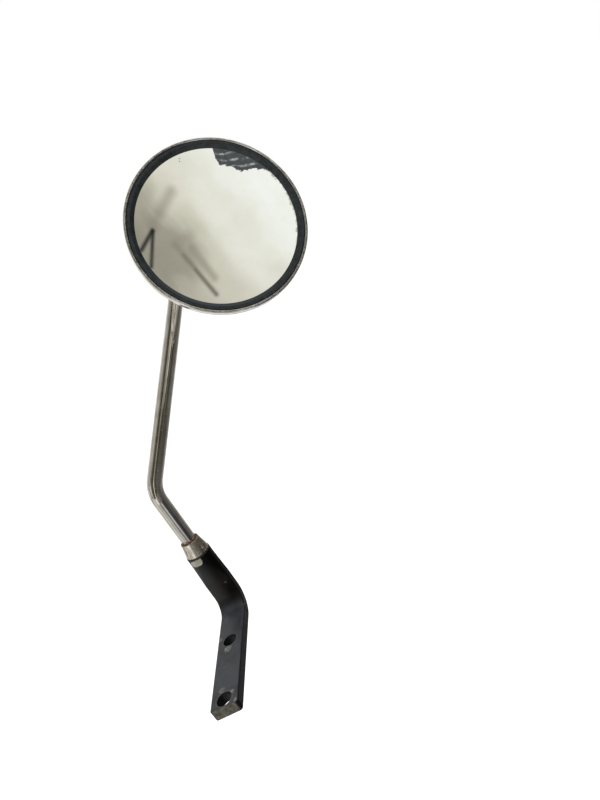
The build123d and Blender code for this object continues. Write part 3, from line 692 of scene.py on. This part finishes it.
def aged_mirror():
    """Float glass silvered on its back, decades old: a hard mirror, with a ragged patch at the
    top where the silver has flaked to its dark backing, brown creep in from the edge, black
    specks, and two dots near the top edge."""
    made, tree = finish("silvered_float_glass")
    place = millimetres(tree, BALL, HEAD_TURN)
    x, y, _ = add(tree, "SeparateXYZ", {0: place}, out=None)
    flat = add(tree, "CombineXYZ", {0: x, 1: y})
    away = add(tree, "VectorMath", {0: flat}, **LENGTH)
    angle = add(tree, "Math", {0: y, 1: x}, **DIRECTION)
    quarter = add(tree, "MapRange", {0: angle, 2: math.pi / 2})
    # flaked patch: where a point lies nearer the edge than the patch's ragged depth
    depth = add(tree, "ValToRGB", {0: quarter}, [(at, grey(level)) for at, level in PATCH])
    lobes = blotches(tree, flat, 2.6, 5.0, 0.6)
    ragged = add(tree, "Math", {0: lobes, 1: -1.8, 2: GLASS_RADIUS - 0.4}, **TIMES_PLUS)
    limit = add(tree, "Math", {0: depth, 1: -PATCH_DEPTH, 2: ragged}, **TIMES_PLUS)
    starts = add(tree, "MapRange", {0: quarter, 1: 0.15, 2: 0.17})
    ends = add(tree, "MapRange", {0: quarter, 1: 0.68, 2: 0.65})
    over = add(tree, "Math", {0: away, 1: limit}, **MINUS)
    over = add(tree, "MapRange", {0: over, 1: -0.15, 2: 0.15})
    flaked = add(tree, "Math", {0: over, 1: starts}, **TIMES)
    flaked = add(tree, "Math", {0: flaked, 1: ends}, **TIMES)
    # wisps of silver left on the backing
    wisp_turn = (0.0, 0.0, math.radians(60))
    wisp_flat = add(tree, "Mapping", {0: flat, 2: wisp_turn, 3: (1.0, 1.6, 1.0)}, **FRAMED)
    wisps = add(tree, "TexWave", {"Vector": wisp_flat, "Scale": 0.085, "Distortion": 5.0,
                                  "Detail": 2.0}, out=1)
    wisps = add(tree, "MapRange", {0: wisps, 1: 0.72, 2: 0.98}, **SOFT)
    broken = blotches(tree, flat, 4.0, 3.0, 0.5, 0.42, 0.60)
    wisps = add(tree, "Math", {0: wisps, 1: broken}, **TIMES)
    dark = add(tree, "Mix", {0: lobes, 6: colour("24292d"), 7: colour("33393d")}, **BLEND)
    backing = add(tree, "Mix", {0: wisps, 6: dark, 7: colour("8c8f8f")}, **BLEND)
    # specks, which crowd towards the edge on one side, and the two dots
    crowd = add(tree, "MapRange", {0: away, 1: 26.0, 2: 44.0}, **SOFT)
    groups = blotches(tree, flat, 9.0, 3.0, 0.5, 0.50, 0.62)
    crowd = add(tree, "Math", {0: crowd, 1: groups}, **TIMES)
    one_side = add(tree, "MapRange", {0: x, 1: -5.0, 2: 15.0})
    crowd = add(tree, "Math", {0: crowd, 1: one_side}, **TIMES)
    speck = freckles(tree, flat, 1.8, 0.15, crowd)
    for dot in DOTS:
        gap = add(tree, "VectorMath", {0: place, 1: dot}, **GAP)
        gap = add(tree, "MapRange", {0: gap, 1: 0.50, 2: 0.35})
        speck = add(tree, "Math", {0: speck, 1: gap}, **LARGER)
    # brown creep in from the edge, on the same side
    ragged = blotches(tree, flat, 3.0, 6.0, 0.7)
    creep = add(tree, "Math", {0: ragged, 1: 3.2, 2: away}, **TIMES_PLUS)
    creep = add(tree, "MapRange", {0: creep, 1: 45.6, 2: 47.4, 4: 0.8}, **SOFT)
    far_side = add(tree, "MapRange", {0: x, 1: 26.0, 2: 40.0}, **SOFT)
    creep = add(tree, "Math", {0: creep, 1: far_side}, **TIMES)
    ageing = blotches(tree, flat, 14.0, 5.0)
    coat = add(tree, "Mix", {0: ageing, 6: colour("f8f9f8"), 7: colour("f2f3ee")}, **BLEND)
    coat = add(tree, "Mix", {0: creep, 6: coat, 7: colour("8f8470")}, **BLEND)
    spoiled = add(tree, "Math", {0: speck, 1: 0.85}, **TIMES)
    coat = add(tree, "Mix", {0: spoiled, 6: coat, 7: colour("55534c")}, **BLEND)
    coat = add(tree, "Mix", {0: flaked, 6: coat, 7: backing}, **BLEND)
    dull = add(tree, "Math", {0: flaked, 1: spoiled}, **LARGER)
    shine = add(tree, "Math", {0: 1.0, 1: dull}, **MINUS)
    rough = add(tree, "Math", {0: ageing, 1: 0.02, 2: 0.008}, **TIMES_PLUS)
    surface(tree, Base_Color=coat, Metallic=shine, Roughness=rough)
    return made


def tab_grime(tree, tone):
    """Near-black grime over the tab washer's ring, with a ragged edge just under the socket's
    top; the tab below it stays clean."""
    place = millimetres(tree, UPRIGHT)
    z = add(tree, "SeparateXYZ", {0: place}, out="Z")
    ragged = add(tree, "Math", {0: blotches(tree, place, 1.5), 1: 0.6, 2: z}, **TIMES_PLUS)
    grime = add(tree, "MapRange", {0: ragged, 1: SOCKET_TOP - 0.4, 2: SOCKET_TOP + 0.3}, **SOFT)
    return add(tree, "Mix", {0: grime, 6: tone, 7: colour("332a20")}, **BLEND)


def mottled(name, light, dark, smooth, matt, grain_size, strength, origin=STRAIGHT,
            turn=STRAIGHT, metal=0.0, dirt=None):
    """A finish that mottles between two colours in patches 3 mm wide, its roughness between
    two values, with a raised grain of a size in mm; dirt(tree, tone) lays grime over it."""
    made, tree = finish(name, Metallic=metal)
    place = millimetres(tree, origin, turn)
    mottle = blotches(tree, place, 3.0, 5.0, 0.6)
    grain = blotches(tree, place, grain_size, 4.0, 0.65)
    both = add(tree, "Math", {0: mottle, 1: grain}, **TIMES)
    tone = add(tree, "Mix", {0: mottle, 6: colour(light), 7: colour(dark)}, **BLEND)
    if dirt:
        tone = dirt(tree, tone)
    rough = add(tree, "Math", {0: both, 1: matt - smooth, 2: smooth}, **TIMES_PLUS)
    bump = add(tree, "Bump", {"Height": grain, "Strength": strength, "Distance": 0.03 * MM})
    surface(tree, Base_Color=tone, Roughness=rough, Normal=bump)
    return made


enamel = stoved_enamel()
silver = aged_mirror()
in_head = {"origin": BALL, "turn": HEAD_TURN}
# Moulded nitrile rubber, weathered: near black and satin, greyed by a film of dust, fine grained.
rubber = mottled("moulded_black_rubber", "151a1c", "22282b", 0.30, 0.50, 0.4, 0.12, **in_head)
# Zinc plate gone dull: light grey and chalky, half its metal sheen lost.
zinc = mottled("dull_zinc_plate", "a9a89d", "7d7b70", 0.42, 0.65, 0.5, 0.3, metal=0.4)
dirty_zinc = mottled("dirty_zinc_plate", "a09f93", "79776d", 0.42, 0.65, 0.5, 0.3, metal=0.4,
                     dirt=tab_grime)
# Oiled spring steel: dark blue-grey, close grained.
spring = mottled("oiled_spring_steel", "5b5d63", "3a3b40", 0.28, 0.45, 0.3, 0.3, metal=1.0,
                 **in_head)
# Turned bare steel: brighter, with a fine grain.
bare_steel = mottled("turned_bare_steel", "b3b0aa", "87837b", 0.18, 0.34, 0.25, 0.3, metal=1.0,
                     **in_head)
# Vulcanised fibre: brick red, slightly fibrous.
fibre = mottled("vulcanised_red_fibre", "8a4032", "5e2a20", 0.55, 0.70, 0.5, 0.4)
# Natural nylon: ivory and waxy, nearly smooth.
nylon = mottled("natural_nylon", "ded9c8", "cbc4ae", 0.34, 0.46, 0.8, 0.1, **in_head)
# Pressed grey felt: matt, with fibres drawn 0.3 mm coarse.
felt = mottled("pressed_grey_felt", "7c7a75", "4e4c48", 0.80, 0.95, 0.3, 0.9, **in_head)
# Matt white paint on the floor, with faint clouds 40 mm wide.
white, tree = finish("matt_white_paint", Roughness=0.9)
clouds = blotches(tree, millimetres(tree), 40.0)
clouds = add(tree, "Mix", {0: clouds, 6: colour("fdfdfd"), 7: colour("ffffff")}, **BLEND)
surface(tree, Base_Color=clouds)
floor.data.materials.append(white)


# ------------------------------------------------------------------ pieces
def fit(piece, material, body, node):
    """Gives a piece its material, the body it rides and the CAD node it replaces."""
    piece.data.materials.append(material)
    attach(piece, body)
    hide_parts(node)


# each profile is a closed line of (radius, height, fillet); the disc's runs from pole to pole
FERRULE = rounded([
    (6.33, CONE_FOOT, 0.1), (7.4, CONE_FOOT, 0.35), (5.7, CONE_TOP, 0.35), (4.55, CONE_TOP, 0.15),
    (4.55, 52.4, 0.1), (5.6, 52.4, 0.1), (5.6, 48.9, 0.05), (6.33, 48.9, 0.05)], True)
RIM = rounded([
    (49.4, 13.4, 0.35), (RIM_RADIUS, GROOVE - 0.35, 0.15), (RIM_RADIUS - 0.38, GROOVE, 0.12),
    (RIM_RADIUS, GROOVE + 0.35, 0.25), (RIM_RADIUS, RIM_CREST, 0.95), (49.2, RIM_CREST, 0.8),
    (49.2, 18.5, 0.1), (50.3, 18.5, 0.1), (48.7, 14.2, 0.1), (47.3, 14.2, 0.1),
    (47.3, 13.4, 0.1)], True)
CHANNEL = rounded([
    (47.5, 15.2, 0.1), (49.1, 18.5, 0.3), (49.1, 20.85, 0.5), (47.2, 20.75, 0.8),
    (45.25, 19.3, 0.12), (45.1, GLASS_FRONT, 0.05), (47.03, GLASS_FRONT, 0.05), (47.03, 16.0, 0.1),
    (45.1, 16.0, 0.1), (45.1, 15.2, 0.2)], True)
DISC = rounded([(0, GLASS_BACK, 0), (GLASS_RADIUS, GLASS_BACK, 0.25),
                (GLASS_RADIUS, GLASS_FRONT, 0.25), (0, GLASS_FRONT, 0)])

fit(rod_surface(), rod_chrome, "stem", "rod")
fit(turned("ferrule", FERRULE, STAND, 192), cone_chrome, "bracket", "cone_nut")
fit(turned("rolled_rim", RIM, HEAD), rim_chrome, "head", "bezel_ring")
fit(turned("glass_channel", CHANNEL, HEAD), rubber, "head", "rim_gasket")
mirror_disc = turned("mirror_disc", DISC, HEAD, wrap=False)
fit(mirror_disc, silver, "head", "mirror_glass")

for material, nodes in (
        (head_chrome, ("mirror_shell",)), (enamel, ("bracket_bar",)), (fibre, ("thrust_washer",)),
        (dirty_zinc, ("tab_washer",)), (zinc, ("retainer_screws", "lock_washers", "retainer_nuts")),
        (spring, ("spring_washer", "retainer_plate")), (bare_steel, ("rod_collar", "pivot_ball")),
        (nylon, ("rear_liner", "front_liner")), (felt, ("backing_pad",))):
    for node in nodes:
        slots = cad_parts[node].data.materials
        slots.clear()
        slots.append(material)
